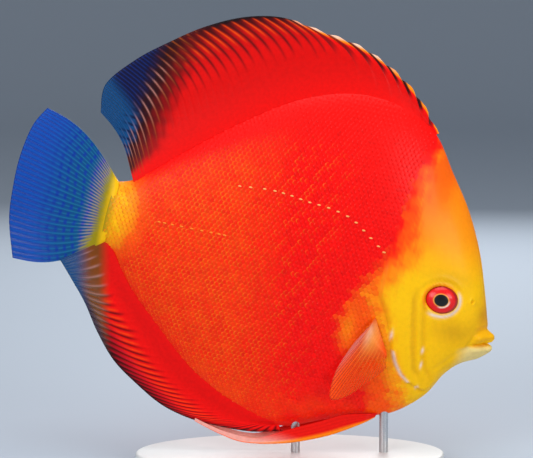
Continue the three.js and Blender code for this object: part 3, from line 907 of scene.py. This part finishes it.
DORSAL_RUNGS = (6.05, 12.85)
DORSAL_MARGIN = [(40.8, 43.2), (31, 53.6), (20, 60.8), (8, 65.4), (-5, 67.2), (-18, 68.8), (-30.5, 66.2),
                 (-42.7, 60.1), (-53, 52.6), (-62.6, 44.4), (-70.6, 34.2), (-70.2, 24.7)]
SPINY = 0.42
SPINES = 8
SOFT_RAYS = 30
SOFT_CROWDING = 0.35
SPINE_BELLS = [(0.2, 0.2, 0.35), (0.8, 0.2, -0.5)]
FORK = 0.55
SWAY = 0.8
LAST = len(RUNGS) - 1
ROOT_SUNK = 1.6
REAR_LINE = ((-50.3, 18), (-0.934, 0.36))
SEA_LINE = ((-53.3, 45.7), (-0.826, -0.563))
DEEP_RED = tint("D80402")
TEAL = tint("064A80")
SEA = tint("0844AC")
NAVY = tint("050B34")
BLACK = tint("120208")
MAROON = tint("5A0308")
SOOT = tint("2A0508")
RUST = tint("A84A14")
PINK = tint("D8A2A0")


def keel(side, first, last, power):
    """Root line sunk in the body's back or belly between two rungs, crowded towards the first by power."""
    def line(u):
        rung = spline(RUNGS, (first + (last - first) * u ** power) / LAST)
        top, low = rung[:, 0:2], rung[:, 2:4]
        edge, other = (top, low) if side > 0 else (low, top)
        return edge + ROOT_SUNK * unit(other - edge)
    return line


def past(x, z, start, way):
    """How far (x, z) lies past a line through start, measured along way: the dot product of the two."""
    return way[0] * (x - start[0]) + way[1] * (z - start[1])


def dorsal_phase(u):
    """Count of rays from the front: even steps up to the last spine, then soft rays ever further apart."""
    soft = np.clip((u - SPINY) / (1 - SPINY), 0, 1)
    return np.where(u < SPINY, SPINES * u / SPINY, SPINES + SOFT_RAYS * crowded(soft, SOFT_CROWDING))


def dorsal_margin(u):
    """Free margin: the spine tips stand out and the skin behind each one is cut back, by bells of phase."""
    notch = bells(dorsal_phase(u) % 1, SPINE_BELLS)
    notch = notch * (1 - smooth(u, SPINY - 0.06, SPINY + 0.04)) * smooth(u, 0, 0.04)
    margin = spline(DORSAL_MARGIN, u)
    tangent = np.gradient(margin, axis=0)
    return margin + unit(np.stack([tangent[:, 1], -tangent[:, 0]], axis=1)) * notch[:, None]


def dorsal_bend(u, v):
    """Rays bowed forwards and up as a sine of v, and a sway to the sides as a sine of u, in mm."""
    bow = np.sin(np.pi * v ** 1.2) * (4.6 * smooth(u, 0.05, 0.5) - 2.4 * smooth(u, 0.85, 1))
    return 0.75 * bow, SWAY * v * np.sin(9 * u), 0.65 * bow


def dorsal_half(u, v):
    """Half thickness: flesh at the root and forked rays towards the margin."""
    return fleshy(v, ray_form(dorsal_phase(u), v, FORK))


dorsal, x, z, u, v = blade("dorsal_fin_skin", keel(1, *DORSAL_RUNGS, 1.35), dorsal_margin, dorsal_bend,
                           dorsal_half, -1, 620, 64)
level_x, level_z = leveled(x, z)
phase = dorsal_phase(u)
part = phase % 1
soft = smooth(u, SPINY - 0.02, SPINY + 0.04)
spiny = 1 - soft
fine = striped(phase, 0, 0.1)
thin = striped(2 * phase, 0, 0.16)
streak = smooth(v + 0.08 * waves(x, z, 8, 13), 0.42, 0.72) * striped(phase, -0.12, 0.13 + 0.16 * v ** 4)
glow = striped(phase, 0.25, 0.12) * smooth(v, 0.66, 0.82)
wedge = smooth(v - 0.12 * part, 0.72, 0.84) * spiny * (1 - smooth(part, 0.5, 0.62))
patch = smooth(v + 0.2 * part, 0.62, 0.86) * spiny * window(part, (0.42, 0.58), (0.94, 1))
rear = past(level_x, level_z, *REAR_LINE) + 2.0 * (waves(x, z, 4, 11) - 0.5)
sea = smooth(past(level_x, level_z, *SEA_LINE), -1, 4.5) * smooth(rear, 5.5, 8.5)
spots = np.cos(level_z * 2.4 + 0.8 * level_x) * hump(part - 0.5, 0.33)
colour = painted(
    RED,
    (DEEP_RED, 0.85 * hump(v - 0.35, 0.3)),
    (MAROON, 0.95 * streak * (1 - 0.5 * spiny)),
    (MAROON, 0.5 * smooth(v, 0.5, 0.9) * soft * smooth(-level_x, -30, 0)),
    (ORANGE, 0.75 * glow * soft * smooth(-level_x, -25, 5)),
    (SOOT, 0.8 * smooth(v, 0.8, 0.97) * soft * (1 - 0.8 * glow)),
    (BLACK, smooth(v, 0.94, 0.985) * soft),
    (AMBER, wedge),
    (PEARL, 0.6 * wedge * smooth(v, 0.86, 0.96) * smooth(u, 0.14, 0.24)),
    (BLACK, 0.95 * patch * (1 - 0.35 * smooth(u, 0.2, 0.4)) * smooth(u, 0.02, 0.05)),
    (MAROON, 0.8 * smooth(rear, -5.5, 1.5) * smooth(v, 0.08, 0.2)),
    (SOOT, smooth(rear, -0.5, 6) * smooth(v, 0.08, 0.2)),
    (RUST, 0.7 * fine * window(rear, (-2, 3), (5, 11))),
    (NAVY, 0.9 * smooth(rear, 5, 11)),
    (SEA, 0.3 * thin * smooth(rear, 7, 12)),
    (TEAL, sea * (0.8 + 0.2 * thin)),
    (NAVY, 0.9 * smooth(spots, 0.1, 0.5) * hump(rear - 8.5, 2.6) * (1 - smooth(level_z, 38, 44))),
    (PINK, 0.4 * fine * hump(rear - 6, 2.6) * window(v, (0.2, 0.35), (0.75, 0.9))),
)
finished(dorsal, colour, 0.3 * sea * (1 - thin) * smooth(v, 0.5, 0.8), "dorsal_fin")

# The anal fin
# The dorsal fin's mirror below: thirty-six rays, swept back to a point under the tail. It is red with a
# sooty margin, and grey-brown to teal where it is clear at the rear.

ANAL_RUNGS = (8.05, 13.6)
ANAL_MARGIN = [(12.5, -66.3), (3, -68.6), (-8, -69.3), (-19, -68.9), (-29, -66.6), (-38.5, -61.8),
               (-47.7, -55.8), (-55.2, -47.6), (-61.4, -38.8), (-67.5, -31.8), (-72.7, -26.2)]
ANAL_RAYS = 36
ANAL_CROWDING = 0.25
UMBER = tint("6A4212")
CRIMSON = tint("B8083C")


def anal_phase(u):
    """Count of rays from the front, ever further apart towards the rear."""
    return ANAL_RAYS * crowded(u, ANAL_CROWDING)


def anal_bend(u, v):
    """Rays bowed forwards and down as a sine of v, and a sway to the sides as a sine of u, in mm."""
    bow = 3.4 * np.sin(np.pi * v ** 1.2) * window(u, (0.1, 0.5), (0.8, 1))
    return 0.6 * bow, -SWAY * v * np.sin(8 * u), -0.8 * bow


def anal_half(u, v):
    """Half thickness: flesh at the root and forked rays towards the margin."""
    return fleshy(v, ray_form(anal_phase(u), v, FORK))


anal, x, z, u, v = blade("anal_fin_skin", keel(-1, *ANAL_RUNGS, 2.5), lambda u: spline(ANAL_MARGIN, u),
                         anal_bend, anal_half, 1, 560, 56)
level_x = leveled(x, z)[0]
phase = anal_phase(u)
between = 1 - ray_form(phase, v, FORK)
fine = striped(phase, 0, 0.12)
streak = smooth(v + 0.08 * waves(x, z, 8, 14), 0.42, 0.66) * striped(phase, -0.1, 0.18 + 0.14 * v ** 4)
glow = striped(phase, 0.3, 0.15) * smooth(v, 0.45, 0.6)
tail_end = smooth(-level_x, 59.5, 64.5)
colour = painted(
    RED,
    (DEEP_RED, 0.6 * hump(v - 0.2, 0.25)),
    (MAROON, 0.9 * streak),
    (ORANGE, 0.5 * glow * (1 - smooth(v, 0.62, 0.84)) * smooth(u, 0.2, 0.4)),
    (CRIMSON, 0.6 * glow * smooth(v, 0.62, 0.8) * hump(u - 0.6, 0.22)),
    (SOOT, 0.85 * smooth(v, 0.7, 0.95) * (1 - 0.6 * glow)),
    (BLACK, 0.9 * smooth(v, 0.92, 0.99) * smooth(u, 0.05, 0.3)),
    (UMBER, 0.92 * tail_end),
    (PINK, 0.35 * tail_end * fine * smooth(v, 0.3, 0.5)),
    (NAVY, 0.8 * smooth(v, 0.86, 0.98) * tail_end),
    (TEAL, 0.9 * smooth(-level_x, 66, 72)),
)
finished(anal, colour, 0.3 * tail_end * between * smooth(v, 0.4, 0.8), "anal_fin")

# The tail fin
# A rounded fan of sixteen branching rays with rows of dark spots between them, blue to teal and partly
# clear, which grows out of a yellow root.

TAIL_ROOT = np.array([(-58.8, 2.9), (-59.2, -16.8)])
TAIL_MARGIN = [(-87.8, 22.1), (-91.2, 15.5), (-93, 5), (-93.1, -6), (-92.1, -17), (-88.4, -29.4)]
TAIL_FLARE = 4.0
TAIL_SWAY = 1.6
TAIL_RAYS = 16
TAIL_FORK = 0.35
TAIL_STEM = 2.0
RAY_TEAL = tint("1C7C9C")
SPOT_BLUE = tint("0A2C9C")


def tail_bend(u, v):
    """Outer rays bowed outwards as a sine of v, and a sway that grows as v squared, a sine of u, in mm."""
    return 0, TAIL_SWAY * v ** 2 * np.sin(2 + 5 * u), TAIL_FLARE * (1 - 2 * u) * np.sin(np.pi * v)


def tail_half(u, v):
    """Half thickness: rays as on the other fins, on a stem as thick as the stalk that thins by v 0.2."""
    stem = TAIL_STEM * (1 - smooth(v, 0.02, 0.2)) * np.sqrt(np.sin(np.pi * u))
    return fleshy(v, ray_form(TAIL_RAYS * u, v, TAIL_FORK), 0.2) + stem


tail, x, z, u, v = blade("tail_fin_skin", lambda u: TAIL_ROOT[0] + (TAIL_ROOT[1] - TAIL_ROOT[0]) * u[:, None],
                         lambda u: spline(TAIL_MARGIN, u), tail_bend, tail_half, -1, 420, 64)
phase = TAIL_RAYS * u
between = 1 - ray_form(phase, v, TAIL_FORK)
thin = striped(2 * phase, 0, 0.18)
ragged = 0.05 * (waves(x, z, 3, 21) - 0.5) + 0.04 * thin
spots = np.cos(v * 75 + 1.5 * np.cos(12 * u)) * hump(phase % 1 - 0.5, 0.33)
colour = painted(
    TEAL,
    (SEA, smooth(v, 0.35, 0.8)),
    (RAY_TEAL, 0.5 * thin * (1 - 0.7 * smooth(v, 0.4, 0.9))),
    (SPOT_BLUE, 0.75 * smooth(spots, 0.1, 0.6) * (1 - smooth(v, 0.55, 0.8))),
    (PINK, 0.6 * thin * (1 - smooth(v, 0.18, 0.32))),
    (OLIVE, 1 - smooth(v - ragged - 0.08 * smooth(u, 0.75, 0.95), 0.07, 0.22)),
    (YELLOW, 0.85 * (1 - smooth(v, 0.03, 0.12))),
)
finished(tail, colour, 0.4 * between * smooth(v, 0.3, 0.9), "tail_fin")

# The pectoral fins
# A folded fan of twelve fine rays behind each gill cover, clear orange skin that is golden at its root
# and pale along its front edge: the gold is partly the body's colour seen through it and partly a painted
# highlight, with a faint painted pearly sheen. It stands off the flank and is drawn in to it at the root.

PECTORAL_ROOT = [(33.4, -20), (36, -24.4), (39.6, -30.4)]
PECTORAL_MARGIN = [(28.4, -30), (24.8, -40.5), (25, -49.7), (30.4, -47.8), (36.4, -41.2), (40.6, -36.2)]
PECTORAL_SIDE = 14.0
PECTORAL_DROP = 2.6
PECTORAL_TUCK = 2.2
PECTORAL_RAYS = 12
PECTORAL_FORK = 0.45
FAN_ORANGE = tint("F8480A")
FAN_RAY = tint("FF9238")
FAN_GOLD = tint("F8A040")


def pectoral_side(v):
    """Distance from the middle plane: falling as v squared, and drawn in over the first sixth of v."""
    return PECTORAL_SIDE - PECTORAL_DROP * v ** 2 - PECTORAL_TUCK * (1 - smooth(v, 0, 0.16))


def pectoral_half(u, v):
    """Half thickness: skin, fine rays and a thicker root."""
    return 0.1 + 0.06 * ray_form(PECTORAL_RAYS * u, v, PECTORAL_FORK) + 0.5 * (1 - smooth(v, 0, 0.2))


for side, hand in SIDES:
    pectoral, x, z, u, v = blade("pectoral_skin_" + side, lambda u: spline(PECTORAL_ROOT, u),
                                 lambda u: spline(PECTORAL_MARGIN, u),
                                 lambda u, v: (0, hand * pectoral_side(v), 0), pectoral_half, -1, 260, 44)
    ray = ray_form(PECTORAL_RAYS * u, v, PECTORAL_FORK)
    colour = painted(
        FAN_ORANGE,
        (FAN_RAY, 0.3 * ray * smooth(v, 0.1, 0.3)),
        (PINK, 0.6 * hump(u - 0.08, 0.12) * smooth(v, 0.25, 0.45)),
        # Painted highlight at the root: gold, partly the body's colour through the skin, and a faint pearly
        # sheen.
        (FAN_GOLD, 0.75 * hump(u - 0.35, 0.35) * hump(v - 0.14, 0.24)),
        (PEARL, 0.3 * hump(u - 0.2, 0.15) * hump(v - 0.2, 0.12)),
    )
    clear = smooth(v, 0.1, 0.45) * (0.62 + 0.23 * smooth(u, 0.3, 0.7)) * (1 - 0.35 * ray)
    finished(pectoral, colour, clear, "pectoral_fin_" + side)

# The pelvic fins
# A long sickle under each side of the breast: red skin on five rays, with a pale orange filament along
# its lower edge. Here u runs from the breast to the tip and v from the upper edge to the lower one.

PELVIC_UPPER = [(42.4, -52.8), (32, -55.2), (24, -59.4), (14, -64.6), (4, -69.8), (-7, -69.9),
                (-16.9, -68)]
PELVIC_LOWER = [(41.8, -54.6), (33, -60.6), (25.4, -64.8), (14, -69.4), (1.2, -72.1), (-8, -71.2),
                (-16.9, -69)]
PELVIC_SIDE = 2.6
PELVIC_SPREAD = 1.6
PELVIC_TUCK = 1.6
PELVIC_RAYS = 5
PELVIC_RED = tint("E81004")


def pelvic_side(u):
    """Distance from the middle plane: swelling as a sine of u, and drawn in at the breast."""
    return PELVIC_SIDE + PELVIC_SPREAD * np.sin(np.pi * u) - PELVIC_TUCK * (1 - smooth(u, 0, 0.08))


def pelvic_half(u, v):
    """Half thickness: skin, rays and a filament at the lower edge, thinning to the tip, and a thick root."""
    blade_half = 0.14 + 0.3 * hump(v - 0.93, 0.1) + 0.1 * striped(PELVIC_RAYS * v, 0, RAY_WIDTH)
    return blade_half * (1 - 0.5 * u) + 0.3 * (1 - smooth(u, 0, 0.2))


for side, hand in SIDES:
    pelvic, x, z, u, v = blade("pelvic_skin_" + side, lambda u: spline(PELVIC_UPPER, u),
                               lambda u: spline(PELVIC_LOWER, u),
                               lambda u, v: (0, hand * pelvic_side(u), 0), pelvic_half, 1, 240, 30)
    colour = painted(
        PELVIC_RED,
        (DEEP_RED, 0.6 * striped(PELVIC_RAYS * v, 0, RAY_WIDTH)),
        (AMBER, 0.85 * smooth(v, 0.66, 0.9) * (1 - 0.7 * smooth(u, 0.5, 0.8))),
        (PEARL, 0.5 * smooth(u + 0.15 * v, 0.52, 0.75) * (1 - smooth(v, 0.75, 0.95))),
        (ORANGE, 0.5 * smooth(u, 0.5, 0.7) * smooth(v, 0.8, 0.95)),
    )
    finished(pelvic, colour, 0 * v, "pelvic_fin_" + side)

# The lateral line
# A row of small raised pores in pale orange that arches over each flank, and a short rear row on the stalk.

ARCH = [(-19.8, 11.9), (-10.5, 13), (-3.7, 12.9), (3.3, 12.1), (10.6, 11.7), (18.2, 10), (25, 5.8),
        (31.1, 1.7)]
ARCH_PORES = 17
REAR_ROW = [(-43.1, -5.8), (-21.1, -4.9)]
REAR_PORES = 9
PORE_LENGTH = 0.62
PORE_BREADTH = 0.3
PORE_HEIGHT = 0.24
PORE_SUNK = 0.06
PORE_NET = (4, 9)
ARCH_COLOUR = tint("FFA860")
REAR_COLOUR = tint("FF8426")

for side, hand in SIDES:
    spots = np.concatenate([
        spline(ARCH, np.linspace(0, 1, ARCH_PORES)),
        spline(REAR_ROW, np.linspace(0, 1, REAR_PORES)),
    ])
    along, lift = rung_of(*spots.T)
    x, y, z = (part[:, None, None] for part in body(turn_of(lift, hand), along))
    tilt = np.linspace(0, np.pi / 2, PORE_NET[0])[:, None]
    spin = np.linspace(0, 2 * np.pi, PORE_NET[1])
    points = grid(
        x + PORE_LENGTH * np.sin(tilt) * np.cos(spin),
        y + hand * (PORE_HEIGHT * np.cos(tilt) - PORE_SUNK),
        z + PORE_BREADTH * np.sin(tilt) * np.sin(spin),
    ).reshape(-1, 3)
    index = np.arange(PORE_NET[0] * PORE_NET[1]).reshape(PORE_NET)
    quads = repeated(cells(index[:, ::hand]), index.size, len(spots))
    pores = piece_of("lateral_line_" + side, posed(*points.T), quads)
    pale = np.repeat(np.arange(len(spots)) < ARCH_PORES, index.size)[:, None]
    paint(pores, "pigment_and_painted_light", np.where(pale, ARCH_COLOUR, REAR_COLOUR))
    close(pores, scaly_skin)
    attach(pores, "root")
